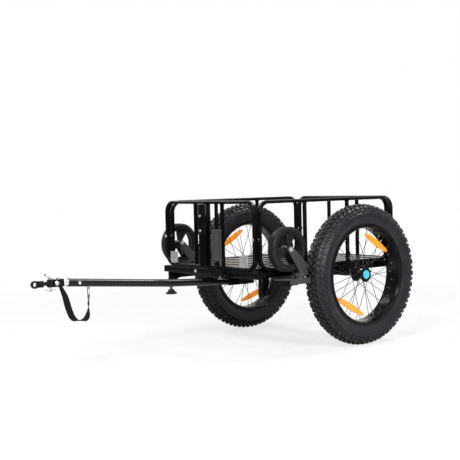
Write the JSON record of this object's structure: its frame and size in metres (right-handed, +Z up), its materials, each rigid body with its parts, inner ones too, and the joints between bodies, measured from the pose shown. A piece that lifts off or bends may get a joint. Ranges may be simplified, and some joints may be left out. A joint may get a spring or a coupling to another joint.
{
  "type": "bike cargo trailer",
  "caption": "Bicycle cargo trailer with a tube chassis, slatted deck, guard panels, fat-tyre wheels, flip-down casters, bent drawbar and eye coupling.",
  "frame": {"origin": "on the ground, at the centre of the trailer's bounding box without the strap", "axes": "+X to the trailer's left, +Y to the rear, +Z up; the drawbar points to -Y"},
  "size_m": [0.846, 1.6173, 0.614],
  "materials": {
    "frame_black": "gloss black powder coat",
    "deck_black": "gloss black powder coat",
    "tube_black": "gloss black paint",
    "cast_black": "satin black",
    "tyre_rubber": "matt black rubber",
    "caster_rubber": "satin black rubber",
    "rim_black": "gloss black anodised",
    "spoke_black": "black spokes",
    "black_plastic": "moulded black plastic",
    "cyan_plastic": "glossy cyan button",
    "amber_plastic": "amber reflector",
    "white_plastic": "clear white reflector",
    "grey_plastic": "grey plastic cap",
    "foam": "matt foam",
    "zinc": "zinc-plated steel",
    "chrome_tube": "bright plated tube",
    "webbing": "black woven webbing",
    "orange_fabric": "orange woven tab"
  },
  "bodies": {
    "chassis": {"side_rails": "frame_black", "crossbars": "frame_black", "axle_tube": "frame_black", "deck_slats": "deck_black", "rail_end_caps": "grey_plastic", "front_panel": "frame_black", "rear_panel": "frame_black", "left_panel": "frame_black", "right_panel": "frame_black", "panel_bolts": "zinc", "front_reflectors": "white_plastic", "storage_tube": "tube_black", "tube_collar": "cast_black", "collar_bolts": "zinc", "drawbar_bracket": "frame_black", "drawbar_bolts": "zinc", "drawbar": "tube_black", "caster_hangers": "frame_black", "lever_bracket": "frame_black", "stub_axles": "zinc", "hitch_tube": "chrome_tube", "coupling_body": "cast_black", "coupling_bolts": "zinc", "strap_ring": "zinc", "safety_strap": "webbing", "strap_tab": "orange_fabric", "snap_hook": "cast_black"},
    "lever": {"lever_tube": "tube_black", "foam_grip": "foam"},
    "snap": {"snap_button": "zinc"},
    "knuckle": {"coupling_knuckle": "cast_black"},
    "eye": {"coupling_eye": "cast_black"},
    "pin": {"lock_pin": "zinc"},
    "clip": {"pin_clip": "zinc"},
    "gate": {"hook_gate": "zinc"},
    "wheel_left": {"tyre_left": "tyre_rubber", "rim_left": "rim_black", "spokes_left": "spoke_black", "hub_left": "black_plastic", "spoke_reflectors_left": "amber_plastic"},
    "button_left": {"hub_button_left": "cyan_plastic"},
    "arm_left": {"caster_arm_left": "frame_black"},
    "fork_left": {"caster_fork_left": "cast_black", "caster_bolt_left": "zinc"},
    "caster_left": {"caster_wheel_left": "black_plastic", "caster_tyre_left": "caster_rubber"},
    "knob_left": {"lock_knob_left": "black_plastic"},
    "wheel_right": {"tyre_right": "tyre_rubber", "rim_right": "rim_black", "spokes_right": "spoke_black", "hub_right": "black_plastic", "spoke_reflectors_right": "amber_plastic"},
    "button_right": {"hub_button_right": "cyan_plastic"},
    "arm_right": {"caster_arm_right": "frame_black"},
    "fork_right": {"caster_fork_right": "cast_black", "caster_bolt_right": "zinc"},
    "caster_right": {"caster_wheel_right": "black_plastic", "caster_tyre_right": "caster_rubber"},
    "knob_right": {"lock_knob_right": "black_plastic"}
  },
  "joints": [
    {"name": "wheel_spin_left", "type": "hinge", "parent": "chassis", "child": "wheel_left", "pos_m": [0.374, 0.51575, 0.293], "axis": [1, 0, 0], "continuous": true},
    {"name": "button_press_left", "type": "slide", "parent": "chassis", "child": "button_left", "axis": [-1, 0, 0], "range_m": [0, 0.004], "stiffness_N_per_m": 800},
    {"name": "caster_flip_left", "type": "hinge", "parent": "chassis", "child": "arm_left", "pos_m": [0.361, 0.04575, 0.256], "axis": [1, 0, 0], "range_deg": [0, 180]},
    {"name": "caster_swivel_left", "type": "hinge", "parent": "arm_left", "child": "fork_left", "pos_m": [0.361, 0.18075, 0.309], "axis": [0, 0, 1], "range_deg": [-12, 110]},
    {"name": "caster_spin_left", "type": "hinge", "parent": "fork_left", "child": "caster_left", "pos_m": [0.361, 0.11875, 0.42], "axis": [1, 0, 0], "continuous": true},
    {"name": "knob_pull_left", "type": "slide", "parent": "chassis", "child": "knob_left", "axis": [0, 0, -1], "range_m": [0, 0.01], "stiffness_N_per_m": 900},
    {"name": "wheel_spin_right", "type": "hinge", "parent": "chassis", "child": "wheel_right", "pos_m": [-0.374, 0.51575, 0.293], "axis": [1, 0, 0], "continuous": true},
    {"name": "button_press_right", "type": "slide", "parent": "chassis", "child": "button_right", "axis": [1, 0, 0], "range_m": [0, 0.004], "stiffness_N_per_m": 800},
    {"name": "caster_flip_right", "type": "hinge", "parent": "chassis", "child": "arm_right", "pos_m": [-0.361, 0.04575, 0.256], "axis": [1, 0, 0], "range_deg": [0, 180]},
    {"name": "caster_swivel_right", "type": "hinge", "parent": "arm_right", "child": "fork_right", "pos_m": [-0.361, 0.18075, 0.309], "axis": [0, 0, 1], "range_deg": [-110, 12]},
    {"name": "caster_spin_right", "type": "hinge", "parent": "fork_right", "child": "caster_right", "pos_m": [-0.361, 0.11875, 0.42], "axis": [1, 0, 0], "continuous": true},
    {"name": "knob_pull_right", "type": "slide", "parent": "chassis", "child": "knob_right", "axis": [0, 0, -1], "range_m": [0, 0.01], "stiffness_N_per_m": 900},
    {"name": "lever_tilt", "type": "hinge", "parent": "chassis", "child": "lever", "pos_m": [0.134, -0.01125, 0.306], "axis": [1, 0, 0], "range_deg": [0, 100]},
    {"name": "snap_press", "type": "slide", "parent": "chassis", "child": "snap", "axis": [-1, 0, 0], "range_m": [0, 0.004], "stiffness_N_per_m": 500},
    {"name": "hitch_yaw", "type": "hinge", "parent": "chassis", "child": "knuckle", "pos_m": [0, -0.72925, 0.33024], "axis": [0, 0, 1], "range_deg": [-60, 60]},
    {"name": "eye_roll", "type": "hinge", "parent": "knuckle", "child": "eye", "pos_m": [0, -0.76925, 0.33024], "axis": [0, 1, 0], "continuous": true},
    {"name": "pin_lift", "type": "slide", "parent": "chassis", "child": "pin", "axis": [0, 0, 1], "range_m": [0, 0.008]},
    {"name": "clip_turn", "type": "hinge", "parent": "pin", "child": "clip", "pos_m": [0, -0.72925, 0.30524], "axis": [0, 1, 0], "range_deg": [-90, 90]},
    {"name": "gate_open", "type": "hinge", "parent": "chassis", "child": "gate", "pos_m": [0.007, -0.56925, 0.2806], "axis": [0, 1, 0], "range_deg": [-30, 0], "stiffness_Nm_per_rad": 0.02}
  ]
}
